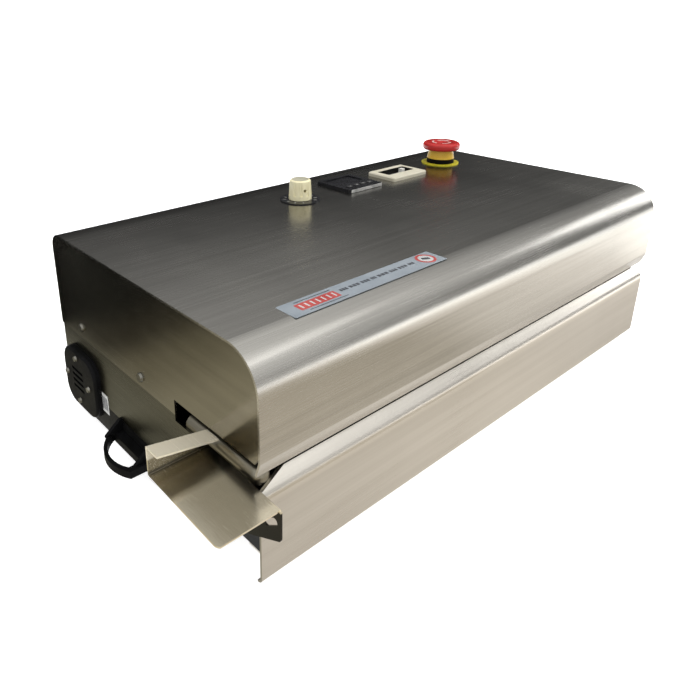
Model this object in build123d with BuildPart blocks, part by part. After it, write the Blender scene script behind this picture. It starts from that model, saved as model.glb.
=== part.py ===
from build123d import *
from math import pi
import os

# Table-top band sealer: a folded steel hood over a lower housing, with a through slot along
# the front.  Two endless bands carry the edge of a pouch between heated bars and press rollers.
# Millimetres.  +X runs with the pouch, +Y to the rear, +Z up; the origin is the centre of the
# footprint at the height the feet stand on.

# ---------------------------------------------------------------- overall sizes
body_length = 489.0
body_depth = 263.0
body_height = 151.0
foot_height = 10.0
tray_reach = 41.5
tray_front = 19.2
rear_reach = 2.5
screw_head = 1.6
screw_taper = 18.0

# ---------------------------------------------------------------- clearances and gauges
sheet = 1.5
plastic_corner = 2.0
lap = 0.4
play = 0.3
running = 0.05

# ---------------------------------------------------------------- hood
hood_height = 79.5
hood_front_radius = 27.0
hood_rear_radius = 13.0
lip_bend_drop = 65.5
lip_drop = 75.5
lip_inset = 3.5
bend_radius = 3.0
notch_depth = 88.0
notch_drop = 68.0

# ---------------------------------------------------------------- lower housing
cover_top_drop = 81.5
cover_top_inset = 8.0
cover_bend_drop = 89.0
cover_bend_radius = 7.0
cover_foot_flange = 30.0
cover_fit = 1.2
cover_corner_radius = 4.0
funnel_length = 30.0
funnel_drop = 6.0
end_plate_drop = 127.0
pan_wall_height = 36.0
pan_gauge = 1.5
foot_radius = 11.0
foot_taper = 6.0
foot_inset_x = 38.0
foot_inset_y = 42.0
recess_depth = 12.0
recess_reach = 60.0
vent_turn = 90.0
strip_gauge = 1.5
strip_length = 140.0
strip_rear_gap = 18.0
strip_low_drop = 94.0
strip_high_drop = 60.0
end_screw_radius = 3.6
end_screw_shank = 1.9
end_screw_places = [(131.3, 72.1), (38.3, 70.5)]

# ---------------------------------------------------------------- band drive
nip_drop = 78.5
nip_gap = 0.4
band_gauge = 1.5
band_width = 14.0
band_inset = 20.0
pulley_radius = 14.0
idler_offset = 60.0
drive_offset = 440.0
shaft_radius = 4.0
gear_teeth = 20
tooth_addendum = 0.8
tooth_dedendum = 1.15
flank_slope = 0.36
upper_tooth_turn = -90.0
half_turn = 180.0
gear_width = 8.0
tooth_share = 0.43
plate_inset = 60.0
plate_gauge = 4.0
plate_end_gap = 17.0
plate_top_gap = 8.0
plate_flange = 22.0
bush_wall = 2.0
bush_flange = 1.5
pin_head_radius = 7.0
pin_head = 2.0

# ---------------------------------------------------------------- heaters, coolers, press rollers
heater_offset = 170.0
heater_length = 100.0
heater_height = 17.0
cooler_offset = 285.0
cooler_length = 60.0
cooler_height = 14.0
fin_pitch = 6.0
fin_slot = 2.5
roller_offset = 370.0
roller_radius = 12.0
carrier_length = 24.0
carrier_depth = 12.0
carrier_height = 16.0
carrier_lift = 14.0
post_radius = 3.0
lug_height = 4.0
spring_height = 10.0
spring_radius = 4.6
spring_wire = 0.6
spring_turns = 4
arm_height = 6.0

# ---------------------------------------------------------------- gearmotor
bracket_inset = 82.0
bracket_gauge = 2.5
bracket_foot = 10.0
bracket_width = 52.0
bracket_top_drop = 72.0
gearbox_radius = 20.0
gearbox_length = 34.0
motor_radius = 17.5
motor_length = 52.0

# ---------------------------------------------------------------- cooling fan in the left end
fan_from_rear = 31.0
fan_drop = 119.0
fan_radius = 23.0
fan_gauge = 12.0
fan_bore = 16.0
fan_hole_circle = 19.5
fan_hole_count = 4
fan_screw_radius = 2.6
fan_shank_radius = 1.4
fan_thread = 4.0
fan_cover_reach = 5.0
fan_cover_from_rear = 34.0
fan_cover_width = 58.0
fan_cover_high_drop = 93.0
fan_cover_low_drop = 146.0
fan_cover_wall = 1.6
fan_cover_corner = 16.0
fan_cover_edge = 2.5
louvre_length = 20.0
louvre_width = 2.6
louvre_pitch = 5.5
louvre_count = 4
hub_radius = 7.5
blade_radius = 15.2
blade_count = 7
blade_gauge = 1.2
blade_chord = 7.0
blade_tilt = 35.0

# ---------------------------------------------------------------- finger loop at the left end
loop_drop = 135.0
loop_gauge = 6.0
loop_from_rear = 115.8
loop_width = 52.5
loop_reach = 25.0
loop_root = 6.0
loop_corner = 19.0
loop_shift = 4.2
loop_rim = 3.0
loop_side = 5.5
rib_gauge = 3.0
rib_reach = 14.0
rib_rise = 10.0

# ---------------------------------------------------------------- infeed tray
tray_gauge = 1.2
tray_gap = 0.6
tray_fence = 49.8
tray_rear_drop = 79.5
tray_front_drop = 82.3
fence_high_drop = 61.0
fence_low_drop = 69.0
fence_lip = 12.3
fence_bend = 1.6
tray_corner = 5.0
tray_flange_corner = 3.0
flange_rear = 24.0
flange_front_drop = 103.0
flange_low_drop = 117.8
flange_low_y = 9.0
flange_slot_width = 4.6
flange_slot_length = 13.2
flange_slot_y = 13.0
flange_slot_drops = [90.5, 108.0]
guide_slot_y = -10.5
guide_slot_drop = 95.0
guide_slot_tilt = -35.0
tray_screw_radius = 4.2
tray_shank_radius = 2.0

# ---------------------------------------------------------------- entry bar
entry_length = 78.0
entry_start = 12.5
entry_plate_drop = 84.0
entry_foot_length = 48.0
entry_radius = 6.5
entry_x = 8.6
entry_top_drop = 76.5

# ---------------------------------------------------------------- controls on the hood
knob_x = 208.6
knob_from_rear = 64.0
knob_radius = 10.5
knob_height = 18.0
knob_top_radius = 9.6
knob_edge = 1.2
knob_skirt = 4.0
knob_crown = 4.0
knob_flutes = 10
flute_radius = 1.8
flute_offset = 0.7
flute_start = 18.0
set_screw_radius = 1.5
set_screw_turn = -15.0
dial_radius = 18.3
dial_gauge = 1.0
pot_radius = 11.0
pot_height = 9.0
pot_shaft_radius = 3.0

controller_x = 279.5
controller_from_rear = 58.0
controller_face = 45.5
controller_bezel = 3.2
controller_case = 42.0
controller_length = 62.0
window_length = 34.0
window_width = 20.0
window_depth = 1.2
window_shift = 8.0
key_length = 6.0
key_width = 4.0
key_count = 4
key_pitch = 9.0
key_shift = 13.5
key_stem = 4.0
key_proud = 0.8
key_travel = 0.8

selector_x = 346.4
selector_from_rear = 62.3
selector_length = 51.4
selector_width = 35.4
selector_height = 3.9
selector_window_length = 39.0
selector_window_width = 15.5
selector_shift = 2.3
selector_body_height = 18.0
selector_floor = 1.5
slider_at = 6.5
slider_length = 5.0
slider_width = 4.0
slider_height = 5.5
slider_slot = 34.0

stop_x = 424.9
stop_from_rear = 57.7
stop_ring_radius = 20.0
stop_ring_gauge = 1.0
stop_collar_radius = 14.7
stop_collar_height = 5.0
stop_cone_height = 9.5
stop_cone_top = 12.5
stop_cap_radius = 20.0
stop_cap_height = 8.0
stop_cap_recess = 4.5
stop_recess_radius = 16.0
stop_dish_radius = 42.0
stop_dish_depth = 1.6
stop_cap_top_edge = 3.5
stop_cap_low_edge = 2.5
stop_stem_radius = 5.0
stop_hole_radius = 11.0
stop_block = 30.0
stop_block_height = 38.0
stop_travel = 4.0
stop_bush_depth = 10.0
stop_block_floor = 3.0

# ---------------------------------------------------------------- rear fittings, board
inlet_from_right = 80.0
inlet_drop = 98.0
inlet_flange_length = 50.0
inlet_flange_width = 27.0
inlet_corner = 4.0
inlet_socket_length = 27.0
inlet_socket_width = 20.0
inlet_depth = 24.0
inlet_wall = 2.0
inlet_pin_width = 2.0
inlet_pin_inset = 7.0
inlet_pins = [(-7.0, -2.0), (0.0, 3.0), (7.0, -2.0)]
vent_count = 8
vent_pitch = 9.0
vent_length = 24.0
vent_width = 3.5
vent_from_right = 200.0
board_x = 190.0
board_from_rear = 93.0
board_length = 130.0
board_width = 70.0
board_gauge = 1.6
standoff_height = 7.0
standoff_radius = 3.0
standoff_inset = 6.0
capacitor_radius = 9.0
capacitor_height = 22.0
capacitor_places = [(-35.0, 12.0), (-12.0, 12.0)]
sink_length = 40.0
sink_width = 12.0
sink_height = 26.0
sink_place = (30.0, -15.0)

# ---------------------------------------------------------------- places worked out from the sizes
left = (tray_reach - body_length - screw_head) / 2
right = left + body_length
front = (tray_front - body_depth - rear_reach) / 2
rear = front + body_depth
bottom = foot_height
top = bottom + body_height
left_wall = left + lap
right_wall = right - lap
pan_left = left_wall + sheet
pan_right = right_wall - sheet
pan_low = bottom + sheet
pan_top = pan_low + pan_gauge
pan_wall_top = pan_low + pan_wall_height
recess_rear = front + recess_reach
plate_front = front + plate_inset
plate_rear = plate_front + plate_gauge
nip = top - nip_drop
band_inner = pulley_radius + running
band_outer = band_inner + band_gauge
axis_rise = nip_gap / 2 + band_outer
upper_axis = nip + axis_rise
lower_axis = nip - axis_rise
drive_x = left + drive_offset
idler_x = left + idler_offset
band_front = front + band_inset
band_rear = band_front + band_width
roller_rise = nip_gap / 2 + band_gauge + running + roller_radius
face_rise = nip_gap / 2 + band_gauge + play
gear_front = plate_rear + bush_flange + play
gear_rear = gear_front + gear_width
motor_face = front + bracket_inset + bracket_gauge
end_screw_spots = [(rear - from_rear, top - drop) for from_rear, drop in end_screw_places]
fan_spot = (rear - fan_from_rear, top - fan_drop)
knob_at = (left + knob_x, rear - knob_from_rear)
controller_at = (left + controller_x, rear - controller_from_rear)
selector_at = (left + selector_x, rear - selector_from_rear)
stop_at = (left + stop_x, rear - stop_from_rear)
under_hood = top - sheet

os.makedirs("parts", exist_ok=True)


def save(piece, label):
    """Label a finished sub-part and write it as its own file."""
    piece.part.label = label
    export_step(piece.part, f"parts/{label}.step")


def folded_section(points, radii, gauge, side=Side.RIGHT):
    """Section of a folded sheet: its outer line, with bends, thickened inward."""
    with BuildSketch() as section:
        with BuildLine():
            FilletPolyline(*points, radius=radii)
            offset(amount=gauge, side=side)
        make_face()
    return section.sketch


def along_y(at):
    """Vertical plane facing the rear: sketch x is X, sketch y is Z."""
    return Plane((0, at, 0), x_dir=(1, 0, 0), z_dir=(0, -1, 0))


# ================================================================ hood
hood_points = [
    (front + lip_inset, top - lip_drop),
    (front, top - lip_bend_drop),
    (front, top),
    (rear, top),
    (rear, top - hood_height),
]
with BuildPart() as hood:
    with BuildSketch(Plane.YZ.offset(left)):
        add(folded_section(hood_points, [bend_radius, hood_front_radius, hood_rear_radius], sheet))
    extrude(amount=body_length)
    with BuildSketch(Plane.XY.offset(top)):
        with Locations(knob_at):
            Circle(pot_shaft_radius + sheet)
        with Locations(controller_at):
            Rectangle(controller_case + lap, controller_case + lap)
        with Locations(selector_at):
            Rectangle(selector_window_length + lap, selector_window_width + lap)
        with Locations(stop_at):
            Circle(stop_hole_radius)
    extrude(amount=-sheet, mode=Mode.SUBTRACT)
save(hood, "hood")


def hood_end(at):
    """Side plate of the hood, inside its folded edge, with the notch that the pouch passes."""
    inner = front + sheet
    back = rear - sheet
    with BuildPart() as plate:
        with BuildSketch(Plane.YZ.offset(at)):
            with BuildLine():
                FilletPolyline(
                    (inner, top - lip_bend_drop + bend_radius),
                    (inner, under_hood),
                    (back, under_hood),
                    (back, top - hood_height),
                    radius=[hood_front_radius - sheet, hood_rear_radius - sheet],
                )
                Polyline(
                    (back, top - hood_height),
                    (front + notch_depth, top - hood_height),
                    (front + notch_depth, top - notch_drop),
                    (inner + lip_inset, top - notch_drop),
                    (inner, top - lip_bend_drop + bend_radius),
                )
            make_face()
        extrude(amount=sheet)
        with BuildSketch(Plane.YZ.offset(at)):
            with Locations(end_screw_spots):
                Circle(end_screw_shank)
        extrude(amount=sheet, mode=Mode.SUBTRACT)
    return plate


save(hood_end(left_wall), "hood_end_left")
save(hood_end(right_wall - sheet), "hood_end_right")

# ================================================================ lower housing
cover_points = [
    (front + cover_top_inset, top - cover_top_drop),
    (front, top - cover_bend_drop),
    (front, bottom),
    (front + cover_foot_flange, bottom),
]
with BuildPart() as lower_cover:
    with BuildSketch(Plane.YZ.offset(left)):
        add(folded_section(cover_points, [cover_bend_radius, cover_corner_radius], sheet, Side.LEFT))
    extrude(amount=body_length)
    with BuildSketch(along_y(front)):
        Polygon(
            (left, top - cover_top_drop + sheet),
            (left, top - cover_top_drop - funnel_drop),
            (left + funnel_length, top - cover_top_drop + sheet),
            align=None,
        )
    extrude(amount=-2 * cover_top_inset, mode=Mode.SUBTRACT)
    with BuildSketch(Plane.XY.offset(bottom)):
        with Locations((left, front + cover_foot_flange)):
            Rectangle(2 * (recess_depth + lap + sheet), 2 * (cover_foot_flange - cover_corner_radius))
    extrude(amount=sheet, mode=Mode.SUBTRACT)
save(lower_cover, "lower_cover")


def fan_openings():
    """Air hole and the four fixing holes of the fan, as cutters through the left end."""
    with BuildPart() as cutter:
        with BuildSketch(Plane.YZ.offset(left_wall)):
            with Locations(fan_spot):
                Circle(fan_bore)
                with PolarLocations(fan_hole_circle, fan_hole_count):
                    Circle(fan_shank_radius)
        extrude(amount=2 * sheet + pan_gauge)
    return cutter.part


def lower_end(at, is_left):
    """Side plate of the lower housing, behind the folded front cover."""
    inner = front + sheet + cover_fit
    front_low = pan_wall_top - pan_gauge if is_left else top - end_plate_drop
    with BuildPart() as plate:
        with BuildSketch(Plane.YZ.offset(at)):
            Polygon(
                (inner + cover_top_inset, top - entry_plate_drop),
                (front + notch_depth, top - entry_plate_drop),
                (front + notch_depth, top - hood_height),
                (rear - sheet, top - hood_height),
                (rear - sheet, top - end_plate_drop),
                (recess_rear, top - end_plate_drop),
                (recess_rear, front_low),
                (inner, front_low),
                (inner, top - cover_bend_drop - lap),
                (inner + cover_top_inset, top - entry_plate_drop - lap),
                align=None,
            )
            if is_left:
                with Locations([(front + flange_slot_y, top - drop) for drop in flange_slot_drops]):
                    Circle(tray_shank_radius, mode=Mode.SUBTRACT)
        extrude(amount=sheet)
        if is_left:
            add(fan_openings(), mode=Mode.SUBTRACT)
    return plate


save(lower_end(left_wall, True), "lower_end_left")
save(lower_end(right_wall - sheet, False), "lower_end_right")

pan_front = front + cover_corner_radius + lap
pan_rear = rear - sheet
with BuildPart() as base_pan:
    with BuildSketch(Plane.XY.offset(pan_low)):
        Polygon(
            (pan_left + recess_depth, pan_front),
            (pan_right, pan_front),
            (pan_right, pan_rear),
            (pan_left, pan_rear),
            (pan_left, recess_rear),
            (pan_left + recess_depth, recess_rear),
            align=None,
        )
    extrude(amount=pan_wall_height)
    offset(amount=-pan_gauge, openings=base_pan.faces().sort_by(Axis.Z)[-1])
    with BuildSketch(Plane.XY.offset(pan_wall_top)):
        with Locations((pan_left, pan_front)):
            Rectangle(recess_depth, recess_rear - pan_front, align=Align.MIN)
    extrude(amount=-pan_gauge)
    with BuildSketch(Plane.XY.offset(bottom)):
        with Locations((left_wall, recess_rear)):
            Rectangle(sheet, pan_rear - recess_rear, align=Align.MIN)
    extrude(amount=top - end_plate_drop - bottom)
    add(fan_openings(), mode=Mode.SUBTRACT)
save(base_pan, "base_pan")

with BuildPart() as rear_panel:
    with BuildSketch(along_y(rear)):
        with Locations(((left + right) / 2, (top - hood_height + bottom) / 2)):
            Rectangle(body_length - 2 * sheet, top - hood_height - bottom)
        with Locations((right - inlet_from_right, top - inlet_drop)):
            Rectangle(inlet_socket_length + lap, inlet_socket_width + lap, mode=Mode.SUBTRACT)
        with Locations((right - vent_from_right, top - inlet_drop)):
            with GridLocations(vent_pitch, 0, vent_count, 1):
                SlotOverall(vent_length, vent_width, rotation=vent_turn, mode=Mode.SUBTRACT)
    extrude(amount=sheet)
save(rear_panel, "rear_panel")


# Inner strips that lap the hood's side plates and the lower ones.
strip_middle = (
    rear - strip_rear_gap - strip_length / 2,
    top - (strip_low_drop + strip_high_drop) / 2,
)
with BuildPart() as joining_strips:
    for at in (pan_left, pan_right - strip_gauge):
        with BuildSketch(Plane.YZ.offset(at)):
            with Locations(strip_middle):
                Rectangle(strip_length, strip_low_drop - strip_high_drop)
            with Locations(end_screw_spots):
                Circle(end_screw_shank, mode=Mode.SUBTRACT)
        extrude(amount=strip_gauge)
save(joining_strips, "joining_strips")

foot_span_x = body_length - 2 * foot_inset_x
foot_span_y = body_depth - 2 * foot_inset_y
with BuildPart() as feet:
    with BuildSketch(Plane.XY.offset(pan_low)):
        with Locations(((left + right) / 2, (front + rear) / 2)):
            with GridLocations(foot_span_x, foot_span_y, 2, 2):
                Circle(foot_radius)
    extrude(amount=-pan_low, taper=foot_taper)
save(feet, "feet")

# ================================================================ inner mounting plate
with BuildPart() as mount_plate:
    with BuildSketch(Plane.YZ.offset(left + plate_end_gap)):
        Polygon(
            (plate_front, pan_top),
            (plate_front + plate_flange, pan_top),
            (plate_front + plate_flange, pan_top + plate_gauge),
            (plate_rear, pan_top + plate_gauge),
            (plate_rear, top - plate_top_gap),
            (plate_front, top - plate_top_gap),
            align=None,
        )
    extrude(amount=body_length - 2 * plate_end_gap)
    with BuildSketch(along_y(plate_front)):
        with Locations((drive_x, upper_axis), (drive_x, lower_axis)):
            Circle(shaft_radius + running + bush_wall)
    extrude(amount=-plate_gauge, mode=Mode.SUBTRACT)
save(mount_plate, "mount_plate")


# Flanged bearing bushes pressed in the mounting plate.
drive_axes = [(drive_x, upper_axis), (drive_x, lower_axis)]
with BuildPart() as drive_bushes:
    with BuildSketch(along_y(plate_front)):
        with Locations(drive_axes):
            Circle(shaft_radius + running + bush_wall)
    extrude(amount=-plate_gauge)
    with BuildSketch(along_y(plate_rear)):
        with Locations(drive_axes):
            Circle(shaft_radius + running + 2 * bush_wall)
    extrude(amount=-bush_flange)
    with BuildSketch(along_y(plate_front)):
        with Locations(drive_axes):
            Circle(shaft_radius + running)
    extrude(amount=-(plate_gauge + bush_flange), mode=Mode.SUBTRACT)
save(drive_bushes, "drive_bushes")


def band(height):
    """Endless band round the idler and the drive pulley."""
    with BuildPart() as loop:
        with BuildSketch(along_y(band_front)):
            with Locations(((drive_x + idler_x) / 2, height)):
                SlotCenterToCenter(drive_x - idler_x, 2 * band_outer)
                SlotCenterToCenter(drive_x - idler_x, 2 * band_inner, mode=Mode.SUBTRACT)
        extrude(amount=-band_width)
    return loop


save(band(upper_axis), "band_upper")
save(band(lower_axis), "band_lower")


def round_bar(x, height, radius, start, end, bore=0.0):
    """Cylinder along Y, with a bore if one is given."""
    with BuildPart() as bar:
        with BuildSketch(along_y(start)):
            with Locations((x, height)):
                Circle(radius)
                if bore:
                    Circle(bore, mode=Mode.SUBTRACT)
        extrude(amount=-(end - start))
    return bar


def drive_roller(height, shaft_end):
    """Drive pulley turned in one piece with its shaft."""
    with BuildPart() as roller:
        add(round_bar(drive_x, height, pulley_radius, band_front, band_rear).part)
        add(round_bar(drive_x, height, shaft_radius, band_front - pin_head, shaft_end).part)
    return roller


save(drive_roller(upper_axis, gear_rear), "drive_roller_upper")
save(drive_roller(lower_axis, motor_face + bush_wall), "drive_roller_lower")

gear_module = (upper_axis - lower_axis) / gear_teeth
pitch_radius = gear_module * gear_teeth / 2
tooth_pitch = pi * gear_module
tooth_tip = pitch_radius + tooth_addendum * gear_module
tooth_root = pitch_radius - tooth_dedendum * gear_module


def drive_gear(height, first_angle):
    """Spur gear with straight-flanked teeth; first_angle turns its first tooth."""
    half = tooth_pitch * tooth_share / 2
    tip_half = half - flank_slope * (tooth_tip - pitch_radius)
    root_half = half + flank_slope * (pitch_radius - tooth_root)
    with BuildPart() as gear:
        with BuildSketch(along_y(gear_front)):
            with Locations((drive_x, height)):
                Circle(tooth_root + running)
                with PolarLocations(0, gear_teeth, start_angle=first_angle):
                    Polygon(
                        (tooth_root - gear_module / 2, -root_half),
                        (tooth_root, -root_half),
                        (tooth_tip, -tip_half),
                        (tooth_tip, tip_half),
                        (tooth_root, root_half),
                        (tooth_root - gear_module / 2, root_half),
                        align=None,
                    )
                Circle(shaft_radius, mode=Mode.SUBTRACT)
        extrude(amount=-gear_width)
    return gear


save(drive_gear(upper_axis, upper_tooth_turn), "drive_gear_upper")
save(drive_gear(lower_axis, -upper_tooth_turn + half_turn / gear_teeth), "drive_gear_lower")

bore_radius = shaft_radius + running
save(round_bar(idler_x, upper_axis, pulley_radius, band_front, band_rear, bore_radius), "idler_pulley_upper")
save(round_bar(idler_x, lower_axis, pulley_radius, band_front, band_rear, bore_radius), "idler_pulley_lower")


def roller_pins(spots, end):
    """Pins with a head in front of their roller and a shoulder behind it."""
    with BuildPart() as pins:
        for radius, start, stop in (
            (pin_head_radius, band_front - play - pin_head, band_front - play),
            (shaft_radius, band_front - play, band_rear + play),
            (pin_head_radius, band_rear + play, end),
        ):
            with BuildSketch(along_y(start)):
                with Locations(spots):
                    Circle(radius)
            extrude(amount=-(stop - start))
    return pins


roller_x = left + roller_offset
fixed_spots = [(idler_x, upper_axis), (idler_x, lower_axis), (roller_x, nip - roller_rise)]
save(roller_pins(fixed_spots, plate_front), "fixed_pins")
press_low = nip - roller_rise
press_high = nip + roller_rise
save(round_bar(roller_x, press_low, roller_radius, band_front, band_rear, bore_radius), "press_roller_lower")
save(round_bar(roller_x, press_high, roller_radius, band_front, band_rear, bore_radius), "press_roller_upper")

# ================================================================ floating carriers and their guides
heater_x = left + heater_offset
carrier_rear = plate_front - play
carrier_front = carrier_rear - carrier_depth
post_y = (carrier_front + carrier_rear) / 2
carrier_low = nip + carrier_lift
carrier_high = carrier_low + carrier_height
lug_top_low = carrier_high + spring_height


# Posts between pairs of lugs that stand on the mounting plate.
with BuildPart() as carrier_guides:
    for x in (heater_x, roller_x):
        for low in (carrier_low - lug_height - play, lug_top_low):
            with BuildSketch(Plane.XY.offset(low)):
                with Locations((x, (carrier_front + plate_front) / 2)):
                    Rectangle(carrier_length, plate_front - carrier_front)
            extrude(amount=lug_height)
        with BuildSketch(Plane.XY.offset(carrier_low - play)):
            with Locations((x, post_y)):
                Circle(post_radius)
        extrude(amount=lug_top_low - carrier_low + play)
save(carrier_guides, "carrier_guides")


def carrier_spring(x):
    """Compression spring round the post, between the carrier and the upper lug."""
    coil = spring_height - 2 * spring_wire
    with BuildPart() as spring:
        with BuildLine(Plane((x, post_y, carrier_high + spring_wire))) as path:
            Helix(pitch=coil / spring_turns, height=coil, radius=spring_radius)
        with BuildSketch(Plane(origin=path.line @ 0, z_dir=path.line % 0)):
            Circle(spring_wire)
        sweep(path=path.line, is_frenet=True)
    return spring


save(carrier_spring(heater_x), "heater_spring")
save(carrier_spring(roller_x), "roller_spring")


def carrier_block(x):
    """Sliding block bored for the post."""
    with BuildPart() as block:
        with BuildSketch(Plane.XY.offset(carrier_low)):
            with Locations((x, post_y)):
                Rectangle(carrier_length, carrier_depth)
                Circle(post_radius + running, mode=Mode.SUBTRACT)
        extrude(amount=carrier_height)
    return block


with BuildPart() as roller_carrier:
    add(carrier_block(roller_x).part)
    add(roller_pins([(roller_x, nip + roller_rise)], carrier_front).part)
    with BuildSketch(along_y(band_rear + 2 * play)):
        with Locations((roller_x, nip + roller_rise + arm_height)):
            Rectangle(2 * shaft_radius, 2 * arm_height)
    extrude(amount=-(carrier_front - band_rear - 2 * play))
save(roller_carrier, "roller_carrier")

with BuildPart() as heater_carrier:
    add(carrier_block(heater_x).part)
    with BuildSketch(along_y(band_rear)):
        with Locations((heater_x, carrier_low - play)):
            Rectangle(carrier_length, arm_height)
    extrude(amount=-(carrier_front - band_rear))
save(heater_carrier, "heater_carrier")


def bar_block(x, low, length, height):
    """Plain bar over the width of the band."""
    with BuildPart() as block:
        with BuildSketch(Plane.XY.offset(low)):
            with Locations((x, (band_front + band_rear) / 2)):
                Rectangle(length, band_width)
        extrude(amount=height)
    return block


with BuildPart() as heater_bar_upper:
    add(bar_block(heater_x, nip + face_rise, heater_length, heater_height).part)
save(heater_bar_upper, "heater_bar_upper")

with BuildPart() as heater_bar_lower:
    add(bar_block(heater_x, nip - face_rise - heater_height, heater_length, heater_height).part)
    with BuildSketch(along_y(band_rear)):
        with Locations((heater_x, nip - face_rise - heater_height / 2)):
            with GridLocations(heater_length / 2, 0, 2, 1):
                Rectangle(2 * shaft_radius, arm_height)
    extrude(amount=-(plate_front - band_rear))
save(heater_bar_lower, "heater_bar_lower")


# Finned cooling bars on stand-offs from the mounting plate, above and below the bands.
cooler_x = left + cooler_offset
with BuildPart() as cooling_bars:
    for low in (nip + face_rise, nip - face_rise - cooler_height):
        add(bar_block(cooler_x, low, cooler_length, cooler_height).part)
        with BuildSketch(along_y(band_front)):
            with Locations((cooler_x, low + cooler_height / 2)):
                with GridLocations(fin_pitch, 0, int(cooler_length / fin_pitch) - 1, 1):
                    Rectangle(fin_slot, cooler_height / 2)
        extrude(amount=-(band_width - fin_slot), mode=Mode.SUBTRACT)
        with BuildSketch(along_y(band_rear)):
            with Locations((cooler_x, low + cooler_height / 2)):
                Rectangle(cooler_length / 2, cooler_height / 2)
        extrude(amount=-(plate_front - band_rear))
save(cooling_bars, "cooling_bars")

# ================================================================ gearmotor
with BuildPart() as motor_bracket:
    with BuildSketch(Plane.YZ.offset(drive_x - bracket_width / 2)):
        Polygon(
            (motor_face - bracket_gauge, pan_top + plate_gauge),
            (motor_face + plate_flange, pan_top + plate_gauge),
            (motor_face + plate_flange, pan_top + plate_gauge + bracket_gauge),
            (motor_face, pan_top + plate_gauge + bracket_gauge),
            (motor_face, top - bracket_top_drop),
            (motor_face - bracket_gauge, top - bracket_top_drop),
            align=None,
        )
    extrude(amount=bracket_width)
    with BuildSketch(Plane.XY.offset(pan_top)):
        with Locations((drive_x, motor_face + plate_flange - bracket_gauge * 2)):
            Rectangle(bracket_width, bracket_foot)
    extrude(amount=plate_gauge)
    with BuildSketch(along_y(motor_face - bracket_gauge)):
        with Locations((drive_x, lower_axis)):
            Circle(shaft_radius + bush_wall)
    extrude(amount=-bracket_gauge, mode=Mode.SUBTRACT)
save(motor_bracket, "motor_bracket")

with BuildPart() as gearmotor:
    with BuildSketch(along_y(motor_face)):
        with Locations((drive_x, lower_axis)):
            Circle(gearbox_radius)
    extrude(amount=-gearbox_length)
    with BuildSketch(along_y(motor_face + gearbox_length)):
        with Locations((drive_x, lower_axis)):
            Circle(motor_radius)
    extrude(amount=-motor_length)
    with BuildSketch(along_y(motor_face)):
        with Locations((drive_x, lower_axis)):
            Circle(shaft_radius + running)
    extrude(amount=-2 * bush_wall, mode=Mode.SUBTRACT)
save(gearmotor, "gearmotor")

# ================================================================ fan in the left end
fan_face = pan_left + pan_gauge
with BuildPart() as fan_frame:
    with BuildSketch(Plane.YZ.offset(fan_face)):
        with Locations(fan_spot):
            Circle(fan_radius)
            Circle(fan_bore, mode=Mode.SUBTRACT)
            with PolarLocations(fan_hole_circle, fan_hole_count):
                Circle(fan_shank_radius, mode=Mode.SUBTRACT)
    extrude(amount=fan_gauge)
    with BuildSketch(Plane.YZ.offset(fan_face + fan_gauge - sheet)):
        with Locations(fan_spot):
            Circle(hub_radius)
            Rectangle(2 * fan_bore + 1, 2 * sheet)
            Rectangle(2 * sheet, 2 * fan_bore + 1)
    extrude(amount=sheet)
save(fan_frame, "fan_frame")

with BuildPart() as fan_rotor:
    with BuildSketch(Plane.YZ.offset(fan_face + play)):
        with Locations(fan_spot):
            Circle(hub_radius)
    extrude(amount=fan_gauge - sheet - 2 * play)
    blade_mid = fan_face + (fan_gauge - sheet) / 2
    blade_span = blade_radius - hub_radius + 1
    with Locations(Plane((blade_mid, *fan_spot), x_dir=(0, 1, 0), z_dir=(1, 0, 0))):
        with PolarLocations(blade_radius - blade_span / 2, blade_count):
            Box(blade_span, blade_chord, blade_gauge, rotation=(blade_tilt, 0, 0))
save(fan_rotor, "fan_rotor")

cover_mid_y = rear - fan_cover_from_rear
cover_mid_z = top - (fan_cover_high_drop + fan_cover_low_drop) / 2
cover_tall = fan_cover_low_drop - fan_cover_high_drop
with BuildPart() as fan_cover:
    with BuildSketch(Plane.YZ.offset(left_wall)):
        with Locations((cover_mid_y, cover_mid_z)):
            RectangleRounded(fan_cover_width, cover_tall, fan_cover_corner)
    extrude(amount=-(fan_cover_reach + lap))
    fillet(fan_cover.faces().sort_by(Axis.X)[0].edges(), fan_cover_edge)
    with BuildSketch(Plane.YZ.offset(left_wall)):
        with Locations((cover_mid_y, cover_mid_z)):
            RectangleRounded(
                fan_cover_width - 2 * fan_cover_wall,
                cover_tall - 2 * fan_cover_wall,
                fan_cover_corner - fan_cover_wall,
            )
    extrude(amount=-(fan_cover_reach + lap - fan_cover_wall), mode=Mode.SUBTRACT)
    with BuildSketch(Plane.YZ.offset(left - fan_cover_reach)):
        with Locations(fan_spot):
            with PolarLocations(fan_hole_circle, fan_hole_count):
                Circle(fan_screw_radius)
    extrude(amount=fan_cover_reach + lap)
    with BuildSketch(Plane.YZ.offset(left - fan_cover_reach)):
        with Locations(fan_spot):
            with GridLocations(0, louvre_pitch, 1, louvre_count):
                SlotOverall(louvre_length, louvre_width)
    extrude(amount=fan_cover_wall, mode=Mode.SUBTRACT)
    with BuildSketch(Plane.YZ.offset(left - fan_cover_reach)):
        with Locations(fan_spot):
            with PolarLocations(fan_hole_circle, fan_hole_count):
                Circle(fan_shank_radius)
    extrude(amount=fan_cover_reach + lap, mode=Mode.SUBTRACT)
save(fan_cover, "fan_cover")

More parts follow.
